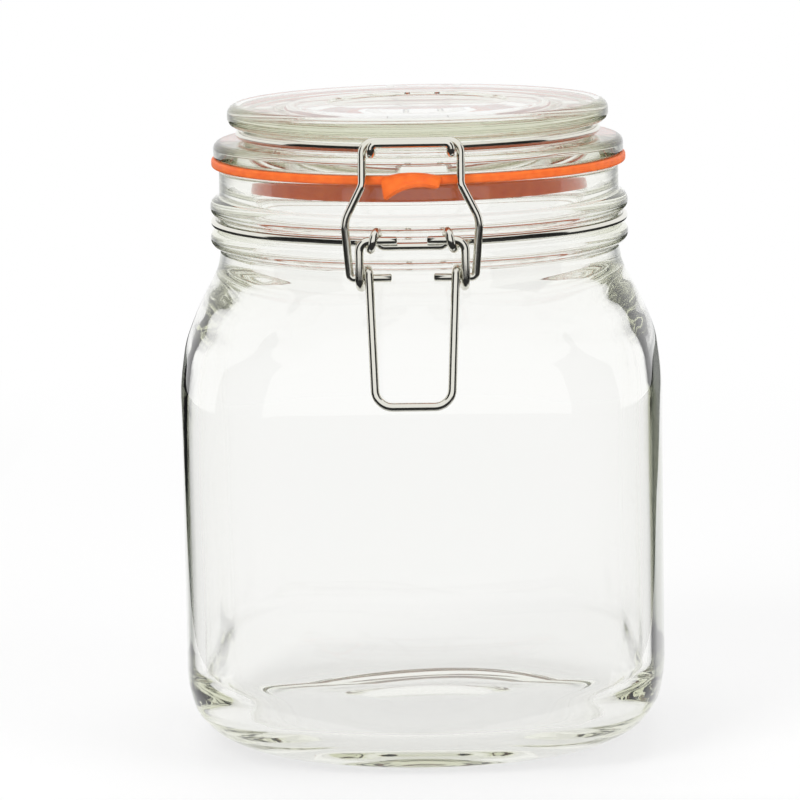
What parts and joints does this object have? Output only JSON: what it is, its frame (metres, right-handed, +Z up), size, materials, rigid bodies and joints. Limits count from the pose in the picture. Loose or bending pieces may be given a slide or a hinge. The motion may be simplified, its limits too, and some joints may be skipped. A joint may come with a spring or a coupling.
{
  "type": "clip-top glass canister",
  "caption": "Rounded-square glass canister with a hinged glass lid, a rubber seal and a bent-wire clasp that clamps the lid shut.",
  "frame": {"origin": "centre of the base on the table", "axes": "+Z up along the jar, -Y towards the clasp, +Y towards the lid hinge"},
  "size_m": [0.114, 0.1172, 0.1508],
  "materials": {
    "glass": "clear pressed glass",
    "seal_rubber": "matt orange rubber",
    "plated_wire": "bright zinc plated steel wire"
  },
  "bodies": {
    "jar": {"glass_jar": "glass", "neck_band": "plated_wire"},
    "lid": {"glass_lid": "glass", "rubber_seal": "seal_rubber", "lid_band": "plated_wire"},
    "lever": {"closing_lever": "plated_wire"},
    "bail": {"catch_bail": "plated_wire"}
  },
  "joints": [
    {"name": "lid_hinge", "type": "hinge", "parent": "jar", "child": "lid", "pos_m": [0, 0.0525, 0.1388], "axis": [-1, 0, 0], "range_deg": [0, 195]},
    {"name": "lever_pivot", "type": "hinge", "parent": "jar", "child": "lever", "pos_m": [0, -0.052, 0.124], "axis": [-1, 0, 0], "range_deg": [0, 120]},
    {"name": "bail_pivot", "type": "hinge", "parent": "lever", "child": "bail", "pos_m": [0, -0.0505, 0.1153], "axis": [-1, 0, 0], "range_deg": [-94, 0]}
  ],
  "couplings": [
    {"joint": "bail_pivot", "follows": "lever_pivot", "ratio": -0.78}
  ]
}
